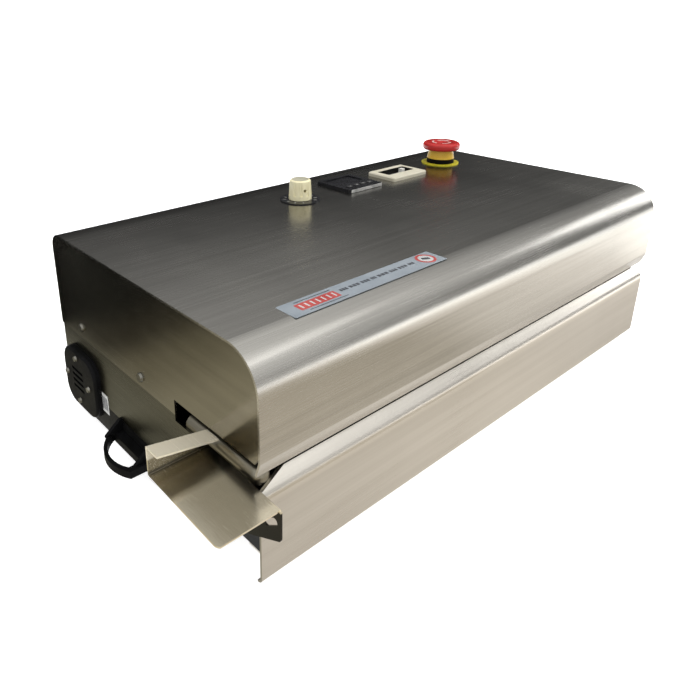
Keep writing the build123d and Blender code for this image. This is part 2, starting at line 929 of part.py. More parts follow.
# ================================================================ finger loop
loop_middle = rear - loop_from_rear
loop_front = loop_middle - loop_width / 2
loop_rear = loop_middle + loop_width / 2
loop_crest = loop_middle - loop_shift
with BuildPart() as finger_loop:
    with BuildSketch(Plane.XY.offset(top - loop_drop - loop_gauge)):
        with BuildLine():
            ThreePointArc(
                (left - loop_corner, loop_front),
                (left - loop_reach, loop_crest),
                (left - loop_root, loop_rear),
            )
            Polyline(
                (left - loop_root, loop_rear),
                (left_wall, loop_rear),
                (left_wall, loop_front),
                (left - loop_corner, loop_front),
            )
        make_face()
        with BuildLine():
            inner_start = (left - loop_corner + sheet, loop_front + loop_side)
            inner_end = (left - loop_root - sheet, loop_rear - loop_side)
            ThreePointArc(inner_start, (left - loop_reach + loop_rim, loop_crest), inner_end)
            Polyline(inner_end, (left - loop_root - sheet, loop_front + loop_side), inner_start)
        make_face(mode=Mode.SUBTRACT)
    extrude(amount=loop_gauge)
    for y in (loop_front + loop_side, loop_rear - rib_gauge):
        with BuildSketch(along_y(y)):
            Polygon(
                (left_wall, top - loop_drop - sheet),
                (left_wall, top - loop_drop + rib_rise),
                (left - sheet, top - loop_drop + rib_rise),
                (left - rib_reach, top - loop_drop),
                (left - rib_reach, top - loop_drop - sheet),
                align=None,
            )
        extrude(amount=rib_gauge)
save(finger_loop, "finger_loop")

# ================================================================ infeed tray
tray_right = left - tray_gap
tray_left = left - tray_reach
with BuildPart() as tray:
    with BuildSketch(Plane.YZ.offset(tray_left)):
        add(
            folded_section(
                [
                    (front + tray_fence, top - fence_high_drop),
                    (front + tray_fence, top - tray_rear_drop - tray_gauge),
                    (front - tray_front + tray_gauge, top - tray_front_drop - tray_gauge),
                ],
                [fence_bend],
                tray_gauge,
                Side.RIGHT,
            )
        )
    extrude(amount=tray_right - tray_left)
    with BuildSketch(along_y(front + tray_fence)):
        Polygon(
            (tray_left, top - fence_high_drop),
            (tray_right, top - fence_low_drop),
            (tray_right, top),
            (tray_left, top),
            align=None,
        )
    extrude(amount=tray_gauge, mode=Mode.SUBTRACT)
    with BuildSketch(along_y(front + tray_fence)):
        Polygon(
            (tray_left, top - fence_high_drop),
            (tray_right, top - fence_low_drop),
            (tray_right, top - fence_low_drop - tray_gauge),
            (tray_left, top - fence_high_drop - tray_gauge),
            align=None,
        )
    extrude(amount=fence_lip)
    with BuildSketch(Plane.XY.offset(bottom)) as tray_plan:
        Polygon(
            (tray_left, front - tray_front),
            (tray_right, front - tray_front),
            (tray_right, front + tray_fence),
            (tray_left, front + tray_fence),
            align=None,
        )
        fillet(tray_plan.vertices().sort_by(Axis.Y)[:2].sort_by(Axis.X)[0], tray_corner)
    extrude(amount=body_height, mode=Mode.INTERSECT)
    with BuildSketch(Plane.YZ.offset(tray_right - tray_gauge)) as flange_outline:
        Polygon(
            (front - tray_front, top - tray_front_drop - tray_gauge / 2),
            (front - tray_front, top - flange_front_drop),
            (front + flange_low_y, top - flange_low_drop),
            (front + flange_rear, top - flange_low_drop),
            (front + flange_rear, top - tray_rear_drop - tray_gauge),
            align=None,
        )
        fillet(flange_outline.vertices().sort_by(Axis.X)[:2].sort_by(Axis.Y)[0], tray_flange_corner)
        with Locations([(front + flange_slot_y, top - drop) for drop in flange_slot_drops]):
            SlotOverall(flange_slot_length, flange_slot_width, mode=Mode.SUBTRACT)
        with Locations((front + guide_slot_y, top - guide_slot_drop)):
            SlotOverall(
                flange_slot_length,
                flange_slot_width,
                rotation=guide_slot_tilt,
                mode=Mode.SUBTRACT,
            )
    extrude(amount=tray_gauge)
save(tray, "infeed_tray")

# ================================================================ screws of the two ends
fan_holes = [
    (fan_spot[0] + side * fan_hole_circle, fan_spot[1] + rise * fan_hole_circle)
    for side, rise in ((1, 0), (0, 1), (-1, 0), (0, -1))
]
tray_spots = [(front + flange_slot_y, top - drop) for drop in flange_slot_drops]
tray_head_at = tray_right - tray_gauge - play
fan_head_at = left - fan_cover_reach
tray_shank = left_wall + 2 * sheet - tray_head_at
fan_shank = fan_face + fan_thread - fan_head_at
screw_sets = [
    (left_wall, -1, end_screw_spots, end_screw_radius, end_screw_shank, sheet + strip_gauge),
    (right_wall, 1, end_screw_spots, end_screw_radius, end_screw_shank, sheet + strip_gauge),
    (tray_head_at, -1, tray_spots, tray_screw_radius, tray_shank_radius, tray_shank),
    (fan_head_at, -1, fan_holes, fan_screw_radius, fan_shank_radius, fan_shank),
]
with BuildPart() as panel_screws:
    for head_at, direction, spots, head_radius, shank_radius, shank_length in screw_sets:
        for spot in spots:
            plane = Plane((head_at, *spot), x_dir=(0, 1, 0), z_dir=(direction, 0, 0))
            with BuildSketch(plane):
                Circle(head_radius)
            extrude(amount=screw_head, taper=screw_taper)
            with BuildSketch(plane):
                Circle(shank_radius)
            extrude(amount=-shank_length)
save(panel_screws, "panel_screws")

# ================================================================ entry bar inside the notch
with BuildPart() as entry_bar:
    with BuildSketch(along_y(front + entry_start)):
        with Locations((left + entry_x, top - entry_top_drop - entry_radius)):
            Circle(entry_radius)
    extrude(amount=-(entry_length - entry_start))
    with Locations((left + entry_x, front + entry_start, top - entry_top_drop - entry_radius)):
        Sphere(entry_radius)
    with BuildSketch(Plane.YZ.offset(pan_left)):
        with Locations((front + entry_length / 2, top - entry_top_drop - 2 * entry_radius)):
            Rectangle(entry_foot_length, 2 * entry_radius)
    extrude(amount=entry_x - lap - sheet)
save(entry_bar, "entry_bar")

# ================================================================ speed knob
knob_low = top + dial_gauge + play
with BuildPart() as knob:
    with BuildSketch(along_y(knob_at[1])):
        with Locations((knob_at[0], knob_low)):
            Polygon(
                (0, 0),
                (knob_radius, 0),
                (knob_top_radius, knob_height - knob_edge),
                (knob_top_radius - knob_edge, knob_height),
                (0, knob_height),
                align=None,
            )
    revolve(axis=Axis((*knob_at, 0), (0, 0, 1)))
    with BuildSketch(Plane.XY.offset(knob_low + knob_skirt)):
        with Locations(knob_at):
            with PolarLocations(knob_radius + flute_offset, knob_flutes, start_angle=flute_start):
                Circle(flute_radius)
    extrude(amount=knob_height, mode=Mode.SUBTRACT)
    with BuildSketch(Plane.XY.offset(knob_low)):
        with Locations(knob_at):
            Circle(pot_shaft_radius)
    extrude(amount=knob_height - knob_crown, mode=Mode.SUBTRACT)
    level = Plane((*knob_at, knob_low + knob_height / 2)).rotated((0, 0, set_screw_turn))
    screw_plane = Plane(level.origin, x_dir=level.z_dir, z_dir=-level.y_dir)
    with BuildSketch(screw_plane):
        Circle(set_screw_radius)
    extrude(amount=2 * knob_radius, mode=Mode.SUBTRACT)
save(knob, "speed_knob")

with BuildPart() as speed_shaft:
    with BuildSketch(Plane.XY.offset(knob_low + knob_height - knob_crown)):
        with Locations(knob_at):
            Circle(pot_shaft_radius)
    extrude(amount=-(knob_height - knob_crown + knob_low - under_hood + pot_height / 2))
save(speed_shaft, "speed_shaft")

with BuildPart() as speed_dial:
    with BuildSketch(Plane.XY.offset(top)):
        with Locations(knob_at):
            Circle(dial_radius)
            Circle(pot_shaft_radius + sheet, mode=Mode.SUBTRACT)
    extrude(amount=dial_gauge)
save(speed_dial, "speed_dial")

with BuildPart() as speed_pot:
    with BuildSketch(Plane.XY.offset(under_hood)):
        with Locations(knob_at):
            Circle(pot_radius)
    extrude(amount=-pot_height)
    with BuildSketch(Plane.XY.offset(under_hood)):
        with Locations(knob_at):
            Circle(pot_shaft_radius + running)
    extrude(amount=-(pot_height / 2 + play), mode=Mode.SUBTRACT)
save(speed_pot, "speed_pot")

# ================================================================ temperature controller
face_top = top + controller_bezel
key_spots = [
    (controller_at[0] + key_pitch * (i - (key_count - 1) / 2), controller_at[1] - key_shift)
    for i in range(key_count)
]
window_at = (controller_at[0], controller_at[1] + window_shift)
with BuildPart() as controller:
    with BuildSketch(Plane.XY.offset(top)):
        with Locations(controller_at):
            RectangleRounded(controller_face, controller_face, plastic_corner)
    extrude(amount=controller_bezel)
    with BuildSketch(Plane.XY.offset(top)):
        with Locations(controller_at):
            Rectangle(controller_case, controller_case)
    extrude(amount=-controller_length)
    with BuildSketch(Plane.XY.offset(face_top)):
        with Locations(window_at):
            Rectangle(window_length, window_width)
    extrude(amount=-window_depth, mode=Mode.SUBTRACT)
    with BuildSketch(Plane.XY.offset(face_top)):
        with Locations(key_spots):
            Rectangle(key_length + 2 * play, key_width + 2 * play)
    extrude(amount=-(key_stem + key_travel + play), mode=Mode.SUBTRACT)
save(controller, "controller")

for number, spot in enumerate(key_spots, start=1):
    with BuildPart() as key:
        with BuildSketch(Plane.XY.offset(face_top - key_stem)):
            with Locations(spot):
                Rectangle(key_length, key_width)
        extrude(amount=key_stem + key_proud)
    save(key, f"controller_key_{number}")

# ================================================================ slide selector in its cream frame
with BuildPart() as selector_frame:
    with BuildSketch(Plane.XY.offset(top)):
        with Locations(selector_at):
            RectangleRounded(selector_length, selector_width, plastic_corner)
    extrude(amount=selector_height)
    chamfer(selector_frame.faces().sort_by(Axis.Z)[-1].edges(), plastic_corner / 2)
    with BuildSketch(Plane.XY.offset(top)):
        with Locations((selector_at[0], selector_at[1] + selector_shift)):
            Rectangle(selector_window_length, selector_window_width)
    extrude(amount=selector_height, mode=Mode.SUBTRACT)
save(selector_frame, "selector_frame")

slider_spot = (selector_at[0] + slider_at, selector_at[1])
with BuildPart() as selector_body:
    with BuildSketch(Plane.XY.offset(top)):
        with Locations(selector_at):
            Rectangle(selector_window_length - 2 * lap, selector_window_width - lap)
    extrude(amount=-selector_body_height)
    with BuildSketch(Plane.XY.offset(top)):
        with Locations(selector_at):
            Rectangle(slider_slot, slider_width + 2 * play)
    extrude(amount=-(selector_floor + play), mode=Mode.SUBTRACT)
save(selector_body, "selector_body")

with BuildPart() as selector_slider:
    with BuildSketch(Plane.XY.offset(top - selector_floor)):
        with Locations(slider_spot):
            Rectangle(slider_length, slider_width)
    extrude(amount=selector_floor + slider_height)
save(selector_slider, "selector_slider")

# ================================================================ emergency stop
collar_low = top + stop_ring_gauge
cone_low = collar_low + stop_collar_height
cone_top = cone_low + stop_cone_height
cap_low = cone_top
with BuildPart() as stop_ring:
    with BuildSketch(Plane.XY.offset(top)):
        with Locations(stop_at):
            Circle(stop_ring_radius)
            Circle(stop_hole_radius, mode=Mode.SUBTRACT)
    extrude(amount=stop_ring_gauge)
save(stop_ring, "stop_ring")

with BuildPart() as stop_collar:
    with BuildSketch(Plane.XY.offset(collar_low)):
        with Locations(stop_at):
            Circle(stop_collar_radius)
    extrude(amount=stop_collar_height)
    with BuildSketch(Plane.XY.offset(collar_low)):
        with Locations(stop_at):
            Circle(stop_hole_radius - lap)
    extrude(amount=-(stop_ring_gauge + stop_bush_depth))
    with BuildSketch(Plane.XY.offset(cone_low)):
        with Locations(stop_at):
            Circle(stop_stem_radius + running)
    extrude(amount=-(stop_collar_height + stop_ring_gauge + stop_bush_depth), mode=Mode.SUBTRACT)
save(stop_collar, "stop_collar")

with BuildPart() as stop_cone:
    with BuildSketch(Plane.XY.offset(cone_low)):
        with Locations(stop_at):
            Circle(stop_collar_radius)
    with BuildSketch(Plane.XY.offset(cone_top)):
        with Locations(stop_at):
            Circle(stop_cone_top)
    loft()
    with BuildSketch(Plane.XY.offset(cone_low)):
        with Locations(stop_at):
            Circle(stop_stem_radius + running)
    extrude(amount=stop_cone_height, mode=Mode.SUBTRACT)
save(stop_cone, "stop_cone")

with BuildPart() as stop_cap:
    with BuildSketch(Plane.XY.offset(cap_low)):
        with Locations(stop_at):
            Circle(stop_cap_radius)
    extrude(amount=stop_cap_height)
    fillet(stop_cap.faces().sort_by(Axis.Z)[-1].edges(), stop_cap_top_edge)
    fillet(stop_cap.faces().sort_by(Axis.Z)[0].edges(), stop_cap_low_edge)
    with Locations((*stop_at, cap_low + stop_cap_height + stop_dish_radius - stop_dish_depth)):
        Sphere(stop_dish_radius, mode=Mode.SUBTRACT)
    with BuildSketch(Plane.XY.offset(cap_low)):
        with Locations(stop_at):
            Circle(stop_recess_radius)
    extrude(amount=stop_cap_recess, mode=Mode.SUBTRACT)
save(stop_cap, "stop_cap")

with BuildPart() as stop_stem:
    with BuildSketch(Plane.XY.offset(cap_low + stop_cap_recess)):
        with Locations(stop_at):
            Circle(stop_stem_radius)
    extrude(amount=-(cap_low + stop_cap_recess - under_hood + stop_bush_depth))
save(stop_stem, "stop_stem")

block_top = collar_low - stop_ring_gauge - stop_bush_depth
with BuildPart() as stop_contacts:
    with BuildSketch(Plane.XY.offset(block_top)):
        with Locations(stop_at):
            Rectangle(stop_block, stop_block)
    extrude(amount=-stop_block_height)
    with BuildSketch(Plane.XY.offset(block_top)):
        with Locations(stop_at):
            Circle(stop_stem_radius + play)
    extrude(amount=-(stop_travel + sheet + stop_block_floor), mode=Mode.SUBTRACT)
save(stop_contacts, "stop_contacts")

# ================================================================ inlet and board
with BuildPart() as power_inlet:
    with BuildSketch(along_y(rear)):
        with Locations((right - inlet_from_right, top - inlet_drop)):
            RectangleRounded(inlet_flange_length, inlet_flange_width, inlet_corner)
    extrude(amount=-rear_reach)
    with BuildSketch(along_y(rear)):
        with Locations((right - inlet_from_right, top - inlet_drop)):
            Rectangle(inlet_socket_length, inlet_socket_width)
    extrude(amount=inlet_depth)
    with BuildSketch(along_y(rear + rear_reach)):
        with Locations((right - inlet_from_right, top - inlet_drop)):
            Rectangle(inlet_socket_length - 2 * inlet_wall, inlet_socket_width - 2 * inlet_wall)
    extrude(amount=inlet_depth + rear_reach - inlet_wall, mode=Mode.SUBTRACT)
    with BuildSketch(along_y(rear - inlet_pin_inset)):
        with Locations((right - inlet_from_right, top - inlet_drop)):
            with Locations(inlet_pins):
                Rectangle(inlet_pin_width, 2 * inlet_pin_width)
    extrude(amount=inlet_depth - inlet_wall - inlet_pin_inset)
save(power_inlet, "power_inlet")

board_at = (left + board_x, rear - board_from_rear)
board_low = pan_top + standoff_height
with BuildPart() as control_board:
    with BuildSketch(Plane.XY.offset(board_low)):
        with Locations(board_at):
            Rectangle(board_length, board_width)
    extrude(amount=board_gauge)
    with BuildSketch(Plane.XY.offset(pan_top)):
        with Locations(board_at):
            with GridLocations(board_length - 2 * standoff_inset, board_width - 2 * standoff_inset, 2, 2):
                Circle(standoff_radius)
    extrude(amount=standoff_height)
    with BuildSketch(Plane.XY.offset(board_low + board_gauge)):
        with Locations([(board_at[0] + x, board_at[1] + y) for x, y in capacitor_places]):
            Circle(capacitor_radius)
    extrude(amount=capacitor_height)
    with BuildSketch(Plane.XY.offset(board_low + board_gauge)):
        with Locations((board_at[0] + sink_place[0], board_at[1] + sink_place[1])):
            Rectangle(sink_length, sink_width)
    extrude(amount=sink_height)
save(control_board, "control_board")
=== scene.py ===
import math

import bpy
from mathutils import Matrix, Vector


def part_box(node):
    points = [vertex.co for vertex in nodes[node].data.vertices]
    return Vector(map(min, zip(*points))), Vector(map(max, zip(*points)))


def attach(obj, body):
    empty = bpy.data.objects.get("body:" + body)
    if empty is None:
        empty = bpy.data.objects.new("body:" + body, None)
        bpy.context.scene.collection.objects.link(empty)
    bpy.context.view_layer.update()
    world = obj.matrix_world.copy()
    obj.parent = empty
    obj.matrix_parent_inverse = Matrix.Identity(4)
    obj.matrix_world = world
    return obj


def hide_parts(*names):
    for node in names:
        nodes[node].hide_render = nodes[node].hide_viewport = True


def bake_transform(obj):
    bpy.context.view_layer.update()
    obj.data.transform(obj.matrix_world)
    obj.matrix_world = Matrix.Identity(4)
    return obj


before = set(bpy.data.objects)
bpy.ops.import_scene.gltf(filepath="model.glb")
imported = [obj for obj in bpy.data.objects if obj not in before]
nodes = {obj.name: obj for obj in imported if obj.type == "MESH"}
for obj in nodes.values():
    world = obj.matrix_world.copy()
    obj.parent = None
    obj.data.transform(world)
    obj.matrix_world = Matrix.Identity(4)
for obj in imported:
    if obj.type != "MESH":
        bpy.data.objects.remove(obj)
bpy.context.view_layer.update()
MM = 0.001


# ------------------------------------------------------------------ places from the frame
def corners(node):
    """Lowest and highest corner of a CAD node, in metres."""
    low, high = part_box(node)
    return Vector(low), Vector(high)


def middle(node):
    """Centre of a CAD node's box."""
    low, high = corners(node)
    return (low + high) / 2


hood_low, hood_high = corners("hood")
left, front, top = hood_low.x, hood_low.y, hood_high.z
right, rear = hood_high.x, hood_high.y

# ------------------------------------------------------------------ camera
camera_data = bpy.data.cameras.new("camera")
camera = bpy.data.objects.new("camera", camera_data)
bpy.context.collection.objects.link(camera)
bpy.context.scene.camera = camera
camera_yaw, camera_pitch, camera_roll = 0.695296, 0.362696, -0.00743
camera_from_corner = Vector((-179.20, -227.68, 168.48)) * MM
forward = Vector((
    math.sin(camera_yaw) * math.cos(camera_pitch),
    math.cos(camera_yaw) * math.cos(camera_pitch),
    -math.sin(camera_pitch),
))
level_right = Vector((math.cos(camera_yaw), -math.sin(camera_yaw), 0))
level_up = level_right.cross(forward)
turn, lean = math.cos(camera_roll), math.sin(camera_roll)
camera_right = turn * level_right + lean * level_up
camera_up = turn * level_up - lean * level_right
camera.matrix_world = Matrix.Translation(Vector((left, front, top)) + camera_from_corner) @ Matrix(
    (camera_right, camera_up, -forward)
).transposed().to_4x4()
camera_data.sensor_width = 36.0
camera_data.lens = 33.71
camera_data.shift_x = 0.109
camera_data.shift_y = -0.1413
camera_data.clip_start = 0.02
camera_data.clip_end = 200.0
bpy.context.scene.view_settings.view_transform = "Standard"


# ------------------------------------------------------------------ materials
class Look:
    """A material's node tree, with short calls for the nodes that it uses."""

    def __init__(self, name):
        self.material = bpy.data.materials.new(name)
        self.material.use_nodes = True
        self.tree = self.material.node_tree
        self.shader = self.tree.nodes["Principled BSDF"]
        self.place = self.tree.nodes.new("ShaderNodeTexCoord").outputs["Object"]

    def set(self, **values):
        """Values on the shader's own sockets, by name with _ for a space."""
        for name, value in values.items():
            self.shader.inputs[name.replace("_", " ")].default_value = value

    def link(self, output, node, socket):
        self.tree.links.new(output, node.inputs[socket])

    def noise(self, scale, detail=3.0, roughness=0.5, distortion=0.0):
        """Noise over the object's own coordinates; scale is three values per metre."""
        mapping = self.tree.nodes.new("ShaderNodeMapping")
        mapping.inputs["Scale"].default_value = scale
        self.link(self.place, mapping, "Vector")
        noise = self.tree.nodes.new("ShaderNodeTexNoise")
        noise.inputs["Scale"].default_value = 1.0
        noise.inputs["Detail"].default_value = detail
        noise.inputs["Roughness"].default_value = roughness
        noise.inputs["Distortion"].default_value = distortion
        self.link(mapping.outputs["Vector"], noise, "Vector")
        return noise.outputs["Fac"]

    def spread(self, value, low, high, from_low=0.3, from_high=0.7):
        """Maps a value to a range."""
        ranger = self.tree.nodes.new("ShaderNodeMapRange")
        ranger.inputs["From Min"].default_value = from_low
        ranger.inputs["From Max"].default_value = from_high
        ranger.inputs["To Min"].default_value = low
        ranger.inputs["To Max"].default_value = high
        self.link(value, ranger, "Value")
        return ranger.outputs["Result"]

    def blend(self, factor, first, second):
        """Colour between two colours."""
        mix = self.tree.nodes.new("ShaderNodeMix")
        mix.data_type = "RGBA"
        self.link(factor, mix, "Factor")
        for socket, colour in ((6, first), (7, second)):
            if isinstance(colour, (tuple, list)):
                mix.inputs[socket].default_value = (*colour[:3], 1.0)
            else:
                self.tree.links.new(colour, mix.inputs[socket])
        return mix.outputs[2]

    def within(self, axis, start, end):
        """1 where the object's own coordinate lies past end, 0 where it is short of start."""
        place = self.tree.nodes.new("ShaderNodeSeparateXYZ")
        self.link(self.place, place, "Vector")
        return self.spread(place.outputs[axis.upper()], 0, 1, start, end)

    def overlap(self, limits):
        """1 where every one of the limits holds."""
        share = 1.0
        for limit in limits:
            share = self.add(self.within(*limit), share, "MULTIPLY")
        return share

    def shaded(self, colour, shades):
        """The colour, multiplied by each shade's factor where all of its limits hold."""
        for factor, *limits in shades:
            colour = self.blend(self.overlap(limits), colour, self.scaled(colour, factor))
        return colour

    def scaled(self, colour, factor):
        """The colour, multiplied by a factor."""
        dim = self.tree.nodes.new("ShaderNodeVectorMath")
        dim.operation = "SCALE"
        dim.inputs["Scale"].default_value = factor
        self.tree.links.new(colour, dim.inputs[0])
        return dim.outputs["Vector"]

    def add(self, first, second, operation="ADD"):
        """Sum of two values, or another operation on them."""
        maths = self.tree.nodes.new("ShaderNodeMath")
        maths.operation = operation
        for socket, value in enumerate((first, second)):
            if isinstance(value, (int, float)):
                maths.inputs[socket].default_value = value
            else:
                self.tree.links.new(value, maths.inputs[socket])
        return maths.outputs[0]

    def bump(self, height, strength, distance):
        node = self.tree.nodes.new("ShaderNodeBump")
        node.inputs["Strength"].default_value = strength
        node.inputs["Distance"].default_value = distance
        self.link(height, node, "Height")
        self.link(node.outputs["Normal"], self.shader, "Normal")

    def colour(self, output):
        self.link(output, self.shader, "Base Color")

    def rough(self, output):
        self.link(output, self.shader, "Roughness")


def grain(along, fine, long_run):
    """Scale of a brushed grain: long along one axis and fine across it."""
    scale = [fine, fine, fine]
    scale["xyz".index(along)] = long_run
    return scale


def brushed_steel(name, dark, pale, along, rough_low, rough_high, blotch=0.35, shades=(), dull=None):
    """Brushed sheet: fine lines along one axis, longer soft streaks and cloudy handling marks.

    shades paint light and shade: a factor and its limits; dull is a metallic share and its limits.
    """
    look = Look(name)
    look.set(Metallic=1.0)
    lines = look.noise(grain(along, 2600, 9), detail=4, roughness=0.65)
    streaks = look.noise(grain(along, 160, 2.5), detail=3, roughness=0.6)
    clouds = look.noise((9, 9, 9), detail=3, roughness=0.55, distortion=0.4)
    tone = look.add(look.spread(lines, 0, 0.24), look.spread(streaks, 0.1, 0.5 - blotch * 0.3))
    tone = look.add(tone, look.spread(clouds, 0, blotch))
    if dull:
        metallic, *limits = dull
        look.link(look.spread(look.overlap(limits), 1.0, metallic, 0, 1), look.shader, "Metallic")
    look.colour(look.shaded(look.blend(tone, dark, pale), shades))
    roughness = look.spread(look.add(lines, clouds), rough_low, rough_high, 0.75, 1.3)
    look.rough(roughness)
    look.bump(lines, 0.04, 0.00004)
    return look.material


def moulded(name, colour, second, roughness, grain_size=1800, bump=0.1, shine=0.5, shades=()):
    """Moulded plastic or rubber with a fine texture and a little colour variation."""
    look = Look(name)
    look.set(IOR=1.48, Specular_IOR_Level=shine)
    fine = look.noise((grain_size,) * 3, detail=2)
    clouds = look.noise((60, 60, 60), detail=3)
    look.colour(look.shaded(look.blend(look.spread(clouds, 0, 1), colour, second), shades))
    look.rough(look.spread(look.add(fine, clouds), roughness - 0.05, roughness + 0.08, 0.8, 1.2))
    look.bump(fine, bump, 0.00008)
    return look.material


def turned_metal(name, dark, pale, roughness):
    """Machined metal with fine turning marks and dull patches."""
    look = Look(name)
    look.set(Metallic=1.0)
    marks = look.noise((300, 2400, 300), detail=3)
    clouds = look.noise((40, 40, 40), detail=2)
    look.colour(look.blend(look.spread(clouds, 0, 1), dark, pale))
    look.rough(look.spread(marks, roughness - 0.06, roughness + 0.1))
    look.bump(marks, 0.1, 0.00004)
    return look.material


# Bands of the sheet metal, as the places where painted light and shade starts and is full.
top_to_rear = ("y", front + 60 * MM, rear - 20 * MM)
rear_bend = ("y", rear - 30 * MM, rear - 12 * MM)
right_part = ("x", left + 120 * MM, right - 150 * MM)
right_fade = ("x", right, right - 80 * MM)
left_part = ("x", left + 170 * MM, left + 50 * MM)
top_face = ("z", top - 2 * MM, top - 0.5 * MM)
cover_slope = ("z", top - 96 * MM, top - 84 * MM)
tray_flange = ("z", top - 83.5 * MM, top - 84.3 * MM)
tray_by_fence = ("y", front + 21 * MM, front + 27 * MM)
tray_floor = ("z", top - 76.5 * MM, top - 78.5 * MM)
tray_lip = ("z", top - 70.5 * MM, top - 69 * MM)

steel_dark, steel_pale = (0.46, 0.445, 0.41), (0.72, 0.70, 0.66)
# Painted light and shade on the hood: darker towards the rear and on the rear bend, darker towards the
# right, lighter on the left of the top.
hood_steel_painted_light = brushed_steel(
    "hood_steel_painted_light", steel_dark, steel_pale, "x", 0.2, 0.3, 0.08,
    [
        (0.42, top_to_rear),
        (0.3, rear_bend),
        (0.8, right_part, right_fade),
        (1.3, left_part, top_face),
    ],
)
# Painted shade: the hood's end faces are darker, olive copies of the hood's steel, and the lower end
# plates are darker still.
shaded_end_cap_steel = brushed_steel("shaded_end_cap_steel", (0.24, 0.225, 0.185), (0.40, 0.38, 0.32), "y", 0.16, 0.26)
deep_shaded_lower_end_plate_steel = brushed_steel(
    "deep_shaded_lower_end_plate_steel", (0.11, 0.105, 0.083), (0.19, 0.185, 0.145), "y", 0.22, 0.34,
)
# Painted highlight: the cover's upper slope is lightened.
cover_steel_painted_highlight = brushed_steel(
    "cover_steel_painted_highlight", (0.48, 0.45, 0.40), (0.66, 0.63, 0.58), "x", 0.26, 0.36, 0.3,
    [(1.55, cover_slope)],
)
bar_steel = brushed_steel("bar_steel", (0.22, 0.20, 0.16), (0.42, 0.39, 0.31), "y", 0.3, 0.45)
# Painted reflection and shade on the tray: its steel is paler and more golden than the hood's for the
# warm reflection it shows, the flange under it is darkened nearly to black, and the floor beside the
# fence is darkened.
tray_steel_painted_light = brushed_steel(
    "tray_steel_painted_light", (0.80, 0.73, 0.58), (0.94, 0.87, 0.71), "y", 0.2, 0.3, 0.2,
    [(0.03, tray_flange), (0.3, tray_by_fence, tray_floor)],
    (0.4, tray_lip),
)
rear_steel = brushed_steel("rear_steel", steel_dark, steel_pale, "x", 0.26, 0.40)
black_paint = moulded("black_paint", (0.006, 0.006, 0.006), (0.010, 0.010, 0.010), 0.42, shine=0.12)
black_plastic = moulded(
    "black_plastic", (0.004, 0.004, 0.004), (0.007, 0.007, 0.008), 0.42, 900, 0.15, 0.07,
)
black_gloss = moulded("black_gloss", (0.008, 0.008, 0.010), (0.012, 0.012, 0.015), 0.26)
rubber = moulded("rubber", (0.02, 0.02, 0.02), (0.035, 0.035, 0.035), 0.7)
cream = moulded("cream", (0.90, 0.82, 0.52), (0.96, 0.90, 0.62), 0.3)
# The selector's frame is darkened almost to black inside its window, which is off centre along Y.
throat = middle("selector_frame") + Vector((0, 2.3 * MM, 0))
throat_length, throat_width, throat_edge = 19.7 * MM, 7.95 * MM, 0.2 * MM
frame_cream = moulded(
    "frame_cream", (0.60, 0.56, 0.44), (0.68, 0.64, 0.52), 0.36,
    shades=[(
        0.01,
        ("x", throat.x - throat_length, throat.x - throat_length + throat_edge),
        ("x", throat.x + throat_length, throat.x + throat_length - throat_edge),
        ("y", throat.y - throat_width, throat.y - throat_width + throat_edge),
        ("y", throat.y + throat_width, throat.y + throat_width - throat_edge),
    )],
)
white_plastic = moulded("white_plastic", (0.80, 0.79, 0.73), (0.87, 0.86, 0.81), 0.35)
key_grey = moulded("key_grey", (0.035, 0.035, 0.037), (0.05, 0.05, 0.052), 0.45)
red = moulded("red", (0.42, 0.011, 0.011), (0.52, 0.02, 0.018), 0.16, bump=0.02)
yellow = moulded("yellow", (0.86, 0.53, 0.04), (0.92, 0.60, 0.07), 0.28)
lemon = moulded("lemon", (0.66, 0.58, 0.03), (0.76, 0.66, 0.05), 0.3)
silicone = moulded("silicone", (0.38, 0.08, 0.05), (0.46, 0.12, 0.08), 0.6)
band_cloth = moulded("band_cloth", (0.20, 0.12, 0.05), (0.30, 0.19, 0.09), 0.4)
board_green = moulded("board_green", (0.02, 0.12, 0.05), (0.03, 0.16, 0.07), 0.35)
motor_paint = moulded("motor_paint", (0.05, 0.05, 0.055), (0.08, 0.08, 0.085), 0.4)
shaft_steel = turned_metal("shaft_steel", (0.45, 0.45, 0.46), (0.62, 0.62, 0.63), 0.28)
bright_steel = turned_metal("bright_steel", (0.60, 0.60, 0.58), (0.78, 0.78, 0.75), 0.22)
screw_steel = turned_metal("screw_steel", (0.18, 0.175, 0.15), (0.32, 0.31, 0.28), 0.24)
brass = turned_metal("brass", (0.60, 0.42, 0.16), (0.75, 0.56, 0.26), 0.3)
aluminium = turned_metal("aluminium", (0.60, 0.61, 0.62), (0.74, 0.75, 0.76), 0.36)

